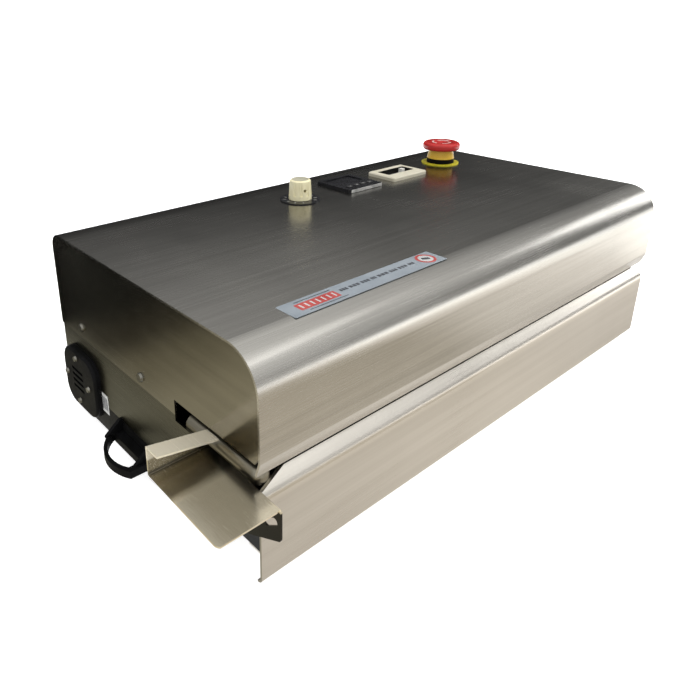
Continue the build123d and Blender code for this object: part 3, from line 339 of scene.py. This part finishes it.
finish_of = {
    hood_steel_painted_light: ["hood", "joining_strips"],
    shaded_end_cap_steel: ["hood_end_left", "hood_end_right"],
    deep_shaded_lower_end_plate_steel: ["lower_end_left", "lower_end_right"],
    cover_steel_painted_highlight: ["lower_cover"],
    bar_steel: ["entry_bar"],
    tray_steel_painted_light: ["infeed_tray"],
    rear_steel: ["rear_panel"],
    black_paint: ["base_pan"],
    black_plastic: [
        "fan_cover", "fan_frame", "fan_rotor", "finger_loop", "stop_collar", "stop_contacts",
        "speed_pot", "power_inlet", "selector_body",
    ],
    black_gloss: ["controller", "speed_dial"],
    rubber: ["feet"],
    cream: ["speed_knob"],
    frame_cream: ["selector_frame"],
    white_plastic: ["selector_slider"],
    key_grey: ["controller_key_1", "controller_key_2", "controller_key_3", "controller_key_4"],
    red: ["stop_cap"],
    yellow: ["stop_cone"],
    lemon: ["stop_ring"],
    silicone: ["press_roller_upper", "press_roller_lower"],
    band_cloth: ["band_upper", "band_lower"],
    board_green: ["control_board"],
    motor_paint: ["gearmotor"],
    shaft_steel: [
        "fixed_pins", "drive_roller_upper", "drive_roller_lower", "drive_gear_lower",
        "carrier_guides", "roller_carrier", "heater_carrier", "speed_shaft", "stop_stem",
    ],
    bright_steel: ["heater_spring", "roller_spring"],
    screw_steel: ["panel_screws"],
    brass: ["heater_bar_upper", "heater_bar_lower", "drive_bushes", "drive_gear_upper"],
    aluminium: [
        "mount_plate", "cooling_bars", "motor_bracket", "idler_pulley_upper", "idler_pulley_lower",
    ],
}
for material, names in finish_of.items():
    for name in names:
        node = nodes[name]
        node.data.materials.clear()
        node.data.materials.append(material)

# ------------------------------------------------------------------ added pieces
def solid(name, outlines, low, high, material, body, bevel=0.0):
    """Flat piece with vertical sides.

    outlines are closed lists of x, y points, anticlockwise from above, one per island.
    """
    points, faces = [], []
    for outline in outlines:
        first, count = len(points), len(outline)
        points += [(x, y, z) for z in (low, high) for x, y in outline]
        lower, upper = range(first, first + count), range(first + count, first + 2 * count)
        faces += [tuple(reversed(lower)), tuple(upper)]
        for n in range(count):
            faces.append((lower[n - 1], lower[n], upper[n], upper[n - 1]))
    mesh = bpy.data.meshes.new(name)
    mesh.from_pydata(points, [], faces)
    mesh.materials.append(material)
    item = bpy.data.objects.new(name, mesh)
    bpy.context.collection.objects.link(item)
    if bevel:
        edge = item.modifiers.new("edge", "BEVEL")
        edge.width = bevel
        edge.segments = 2
    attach(item, body)


def oblong(x, y, width, depth, radius=0.0, turn_by=0.0):
    """Rounded rectangle about its centre."""
    points = []
    steps = 6 if radius else 1
    for corner, (side, rise) in enumerate(((1, 1), (-1, 1), (-1, -1), (1, -1))):
        for step in range(steps):
            angle = (corner + (step / (steps - 1) if radius else 0.5)) * math.pi / 2
            px = side * (width / 2 - radius) + radius * math.cos(angle)
            py = rise * (depth / 2 - radius) + radius * math.sin(angle)
            points.append((
                x + px * math.cos(turn_by) - py * math.sin(turn_by),
                y + px * math.sin(turn_by) + py * math.cos(turn_by),
            ))
    return points


def arc_band(x, y, inner, outer, start, end, steps=24):
    """Closed outline of a ring's sector; angles in degrees."""
    angles = [math.radians(start + (end - start) * step / steps) for step in range(steps + 1)]
    return [(x + outer * math.cos(a), y + outer * math.sin(a)) for a in angles] + [
        (x + inner * math.cos(a), y + inner * math.sin(a)) for a in reversed(angles)
    ]


label_silver = moulded("label_silver", (0.25, 0.285, 0.32), (0.31, 0.345, 0.38), 0.42)
label_red = moulded("label_red", (0.42, 0.06, 0.055), (0.52, 0.10, 0.09), 0.45)
label_dark = moulded("label_dark", (0.045, 0.05, 0.06), (0.075, 0.08, 0.09), 0.5)
label_pale = moulded("label_pale", (0.50, 0.50, 0.50), (0.58, 0.58, 0.58), 0.5)
label_length, label_width = 142 * MM, 18.5 * MM
label_x, label_y = left + 116.2 * MM, front + 31.2 * MM
label_left, label_front = label_x - label_length / 2, label_y - label_width / 2
label_top = top + 0.16 * MM
print_top = label_top + 0.05 * MM


def on_label(u, v):
    """Point of the label, in millimetres from its front left corner."""
    return label_left + u * MM, label_front + v * MM


solid(
    "top_label", [oblong(label_x, label_y, label_length, label_width, 0.8 * MM)],
    top, label_top, label_silver, "housing",
)
red_middle = on_label(26, 9.2)
solid(
    "label_red_field", [oblong(*red_middle, 33 * MM, 8.4 * MM, 0.6 * MM)],
    label_top, print_top, label_red, "housing",
)
# Plain bars in place of words: three to a group, groups from left to right along one line.
bars = []
group_left, group_gap = 46.0, 1.4
bar_line, bar_height, bar_share = 10.6, 3.0 * MM, 1 / 3.9
for group in (7.0, 9.5, 8.0, 5.0, 10.5, 7.5, 9.0, 6.0):
    for part in range(3):
        spot = on_label(group_left + group * (part + 0.5) / 3, bar_line)
        bars.append(oblong(*spot, group * bar_share * MM, bar_height))
    group_left += group + group_gap
bars.append(oblong(*on_label(27, 15.6), 30 * MM, 0.8 * MM))
bars.append(oblong(*on_label(30, 2.9), 32 * MM, 0.7 * MM))
solid("label_print", bars, label_top, print_top, label_dark, "housing")
pale_marks = [oblong(*on_label(12.6 + 4.5 * n, 9.2), 1.3 * MM, 5.0 * MM) for n in range(7)]
solid("label_pale_print", pale_marks, print_top, print_top + 0.03 * MM, label_pale, "housing")
ring_x, ring_y = on_label(130.5, 10.0)
ring_inner, ring_outer = 5.6 * MM, 7.6 * MM
solid(
    "label_ring",
    [arc_band(ring_x, ring_y, ring_inner, ring_outer, start, start + 180) for start in (0, 180)],
    label_top, print_top, label_red, "housing",
)
solid(
    "label_ring_field", [arc_band(ring_x, ring_y, 0.01 * MM, 5.5 * MM, 0, 359)],
    label_top, print_top - 0.01 * MM, label_pale, "housing",
)
solid(
    "label_ring_sign", [oblong(ring_x, ring_y, 6.4 * MM, 3.4 * MM, 1.2 * MM, -0.5)],
    print_top - 0.01 * MM, print_top + 0.02 * MM, label_dark, "housing",
)

# Scale ticks on the dial under the knob.
dial_high = corners("speed_dial")[1]
dial_middle = middle("speed_dial")
tick_white = moulded("tick_white", (0.28, 0.28, 0.26), (0.40, 0.40, 0.38), 0.5)
tick_radius, tick_length, tick_width = 14.2 * MM, 3.0 * MM, 0.9 * MM
first_tick, tick_step = 240, 30
ticks = []
for number in range(11):
    angle = math.radians(first_tick - tick_step * number)
    at = (dial_middle.x + tick_radius * math.cos(angle), dial_middle.y + tick_radius * math.sin(angle))
    ticks.append(oblong(*at, tick_length, tick_width, 0, angle))
solid("dial_ticks", ticks, dial_high.z, dial_high.z + 0.08 * MM, tick_white, "housing")

# Grey insert in the knob's end.
knob_high = corners("speed_knob")[1]
knob_middle = middle("speed_knob")
knob_grey = moulded("knob_grey", (0.42, 0.40, 0.30), (0.52, 0.50, 0.39), 0.4)
solid(
    "knob_insert", [arc_band(knob_middle.x, knob_middle.y, 0.01 * MM, 7.6 * MM, 0, 359.5, 40)],
    knob_high.z, knob_high.z + 0.25 * MM, knob_grey, "speed_control", bevel=0.1 * MM,
)

# Silver strip along the front of the controller's bezel.
controller_high = corners("controller")[1]
controller_middle = middle("controller")
strip_silver = moulded("strip_silver", (0.30, 0.30, 0.29), (0.85, 0.84, 0.81), 0.35, 500, 0.3)
face_half = 22.75 * MM
strip_depth, strip_short = 0.5 * MM, 3.5 * MM
strip_y = controller_middle.y - face_half - strip_depth / 2
solid(
    "controller_strip",
    [oblong(controller_middle.x, strip_y, 2 * face_half - strip_short, strip_depth)],
    top + 0.3 * MM, controller_high.z - 0.1 * MM, strip_silver, "housing",
)

# Pale mark on each of the controller's keys.
for number in range(1, 5):
    key_high = corners(f"controller_key_{number}")[1]
    key_middle = middle(f"controller_key_{number}")
    solid(
        f"key_mark_{number}",
        [oblong(key_middle.x, key_middle.y - 0.6 * MM, 0.9 * MM, 2.2 * MM, 0, -0.35)],
        key_high.z, key_high.z + 0.06 * MM, tick_white, f"key_{number}",
    )

# Release arrows on the stop head.
stop_high = corners("stop_cap")[1].z
stop_middle = middle("stop_cap")
arrow_pink = moulded("arrow_pink", (0.72, 0.50, 0.48), (0.80, 0.60, 0.57), 0.35)
arrow_low, arrow_high = stop_high - 1.3 * MM, stop_high - 0.25 * MM
tail_inner, tail_outer, tail_sweep = 8.6 * MM, 10.4 * MM, 62
foot_inner, foot_outer, tip_radius = 7.6 * MM, 11.3 * MM, 9.5 * MM
arrows = []
for number in range(3):
    start = 100 + 120 * number
    tail = (tail_inner, tail_outer, start, start + tail_sweep)
    arrows.append(arc_band(stop_middle.x, stop_middle.y, *tail))
    tip, foot = math.radians(start + 86), math.radians(start + 63)
    arrows.append([
        (stop_middle.x + radius * math.cos(angle), stop_middle.y + radius * math.sin(angle))
        for radius, angle in ((foot_inner, foot), (foot_outer, foot), (tip_radius, tip))
    ])
solid("release_arrows", arrows, arrow_low, arrow_high, arrow_pink, "stop_head")

# Paper sticker on the lower end beside the fan cover.
paper = moulded("paper", (0.50, 0.50, 0.49), (0.60, 0.60, 0.59), 0.55)
side_face = corners("lower_end_left")[0].x
sticker_rear, sticker_front = rear - 62 * MM, rear - 73 * MM
sticker_y, sticker_width = (sticker_rear + sticker_front) / 2, sticker_rear - sticker_front
first_print, print_step, print_line = sticker_front + 2.0 * MM, 2.2 * MM, 1.2 * MM
solid(
    "side_sticker",
    [oblong(side_face - 0.1 * MM, sticker_y, 0.2 * MM, sticker_width)],
    top - 134 * MM, top - 117 * MM, paper, "housing",
)
solid(
    "sticker_print",
    [
        oblong(side_face - 0.24 * MM, first_print + print_step * n, 0.08 * MM, print_line)
        for n in range(4)
    ],
    top - 131 * MM, top - 120 * MM, label_dark, "housing",
)

# Each of the two coil springs is copied into an object of its own, and the original part is hidden.
for name, carrier in (("heater_spring", "heater_float"), ("roller_spring", "press_float")):
    coil = nodes[name].copy()
    coil.data = nodes[name].data.copy()
    coil.name = f"{name}_coil"
    coil.parent = None
    coil.matrix_world = nodes[name].matrix_world
    bpy.context.collection.objects.link(coil)
    spring_low, spring_high = corners(name)
    foot, head = middle(name), middle(name)
    foot.z, head.z = spring_low.z, spring_high.z
    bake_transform(coil)
    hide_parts(name)

# Fine radius on the outer edges, as left by deburring and moulding.
outer_edge, fine_edge = 0.45 * MM, 0.25 * MM
for name in (
    "hood", "hood_end_left", "hood_end_right", "lower_cover", "lower_end_left", "lower_end_right",
    "infeed_tray", "rear_panel", "base_pan", "controller", "selector_frame",
):
    edge = nodes[name].modifiers.new("edge", "BEVEL")
    edge.width = outer_edge if name.startswith(("hood", "lower_end")) else fine_edge
    edge.segments = 2
    edge.limit_method = "ANGLE"
    edge.angle_limit = math.radians(50)

# ------------------------------------------------------------------ stage
def card(name, centre, size, material, normal=(0, 0, 1)):
    """Flat rectangle of the stage, facing along normal."""
    mesh = bpy.data.meshes.new(name)
    x, y = size[0] / 2, size[1] / 2
    mesh.from_pydata([(-x, -y, 0), (x, -y, 0), (x, y, 0), (-x, y, 0)], [], [(0, 1, 2, 3)])
    mesh.materials.append(material)
    item = bpy.data.objects.new(name, mesh)
    facing = Vector((0, 0, 1)).rotation_difference(Vector(normal))
    item.matrix_world = Matrix.Translation(centre) @ facing.to_matrix().to_4x4()
    bpy.context.collection.objects.link(item)
    return item


def plain(name, colour, roughness, glow):
    """One colour, lit and glowing."""
    look = Look(name)
    look.set(Base_Color=(*colour, 1), Roughness=roughness)
    look.set(Emission_Color=(*colour, 1), Emission_Strength=glow)
    return look.material


def graded(name, axis, stops):
    """Glowing card whose colour runs along its own x or y, in metres from its centre."""
    look = Look(name)
    look.set(Base_Color=(0, 0, 0, 1), Roughness=1.0, Specular_IOR_Level=0.0, Emission_Strength=1.0)
    start, end = stops[0][0], stops[-1][0]
    node = look.tree.nodes.new("ShaderNodeValToRGB")
    look.link(look.within(axis, start, end), node, "Fac")
    node.color_ramp.interpolation = "EASE"
    elements = node.color_ramp.elements
    for number, (place, colour) in enumerate(stops):
        share = (place - start) / (end - start)
        if number == 0:
            stop = elements[0]
        elif number == len(stops) - 1:
            stop = elements[-1]
        else:
            stop = elements.new(share)
        stop.position = share
        stop.color = (*colour, 1)
    look.link(node.outputs["Color"], look.shader, "Emission Color")
    return look.material


def reflection_card(name, centre, size, material):
    """Level card that only shows as a reflection."""
    flag = card(name, centre, size, material)
    flag.visible_camera = False
    flag.visible_diffuse = False
    flag.visible_shadow = False


floor_side, backdrop_side, backdrop_away = 80, 60, 20
card("floor", (0, 0, 0), (floor_side,) * 2, plain("floor_white", (0.92, 0.92, 0.92), 0.9, 0.86))
backdrop_white = plain("backdrop_white", (1, 1, 1), 0.9, 1.1)
for number, (x, y) in enumerate(((1, 0), (-1, 0), (0, 1), (0, -1))):
    place = (x * backdrop_away, y * backdrop_away, 0)
    backdrop = card(f"backdrop_{number}", place, (backdrop_side,) * 2, backdrop_white, (-x, -y, 0))
    backdrop.visible_glossy = False
    backdrop.visible_diffuse = False
    backdrop.visible_shadow = False

# The cards stand in for the room that the sheet metal mirrors, lying just above the floor.
# What the left end reflects: dim and warm beside the front, nearly black towards the rear.
left_card = graded(
    "left_reflection",
    "y",
    [
        (-0.75, (0.50, 0.46, 0.36)),
        (-0.16, (0.62, 0.57, 0.43)),
        (-0.06, (0.48, 0.44, 0.325)),
        (0.03, (0.26, 0.235, 0.165)),
        (0.10, (0.05, 0.045, 0.032)),
        (0.18, (0.014, 0.014, 0.012)),
        (0.75, (0.01, 0.01, 0.01)),
    ],
)
reflection_card("reflect_left", (left - 0.76, rear - 0.02, 0.0012), (1.5, 1.5), left_card)
near_left = Look("near_left_reflection")
near_left.set(Base_Color=(0, 0, 0, 1), Roughness=1.0)
near_left.set(Emission_Color=(0.40, 0.38, 0.30, 1), Emission_Strength=1.0)
reflection_card("reflect_near_left", (left - 0.028, 0.06, 0.0018), (0.05, 0.46), near_left.material)

# What the front reflects, first close to the machine and then farther out, where it is
# warm grey at the left and bright at the right.
near_card = graded(
    "near_reflection",
    "x",
    [
        (-0.5, (0.80, 0.75, 0.68)),
        (-0.1, (0.95, 0.89, 0.80)),
        (0.1, (0.85, 0.80, 0.73)),
        (0.5, (0.72, 0.66, 0.60)),
    ],
)
reflection_card("reflect_near", (0.16, front - 0.04, 0.0016), (1.0, 0.08), near_card)
front_card = graded(
    "front_reflection",
    "x",
    [
        (-0.8, (0.50, 0.46, 0.38)),
        (-0.46, (0.60, 0.54, 0.44)),
        (-0.28, (0.55, 0.50, 0.41)),
        (-0.13, (1.0, 0.94, 0.85)),
        (0.07, (1.4, 1.32, 1.22)),
        (0.22, (2.0, 1.95, 1.85)),
        (0.8, (2.3, 2.3, 2.2)),
    ],
)
reflection_card("reflect_front", (0.36, front - 0.58, 0.0016), (1.6, 1.0), front_card)

# Sky: brighter overhead and towards the front, dim behind the machine.
world = bpy.data.worlds.new("studio")
bpy.context.scene.world = world
world.use_nodes = True
tree = world.node_tree
background = tree.nodes["Background"]
direction = tree.nodes.new("ShaderNodeTexCoord")
share = tree.nodes.new("ShaderNodeVectorMath")
share.operation = "DOT_PRODUCT"
share.inputs[1].default_value = (-0.22, -0.40, 1.09)
tree.links.new(direction.outputs["Generated"], share.inputs[0])
sky = tree.nodes.new("ShaderNodeMapRange")
sky.inputs["From Min"].default_value = -0.16
sky.inputs["From Max"].default_value = 0.98
sky.inputs["To Min"].default_value = 0.03
sky.inputs["To Max"].default_value = 0.95
tree.links.new(share.outputs["Value"], sky.inputs["Value"])
background.inputs["Color"].default_value = (1.0, 1.0, 0.985, 1)
tree.links.new(sky.outputs["Result"], background.inputs["Strength"])


def softbox(name, at, toward, size, power, gloss=True):
    """Large rectangular light."""
    data = bpy.data.lights.new(name, "AREA")
    data.shape = "RECTANGLE"
    data.size, data.size_y = size
    data.energy = power
    lamp = bpy.data.objects.new(name, data)
    lamp.location = at
    lamp.rotation_mode = "QUATERNION"
    lamp.rotation_quaternion = (Vector(toward) - Vector(at)).to_track_quat("-Z", "Y")
    lamp.visible_glossy = gloss
    bpy.context.collection.objects.link(lamp)


softbox("overhead", (0.2, -0.3, 2.4), (0, 0, 0), (2.4, 1.6), 30, gloss=False)
softbox("front_right", (1.9, -0.9, 1.5), (0.1, 0, 0.1), (1.2, 1.4), 12, gloss=False)
softbox("bend_light", (1.2, -1.3, 2.2), (0.1, -0.1, 0.1), (1.4, 0.5), 1.9)
softbox("right_light", (2.58, -0.72, 0.95), (0.26, -0.12, 0.16), (0.6, 0.9), 4.5)
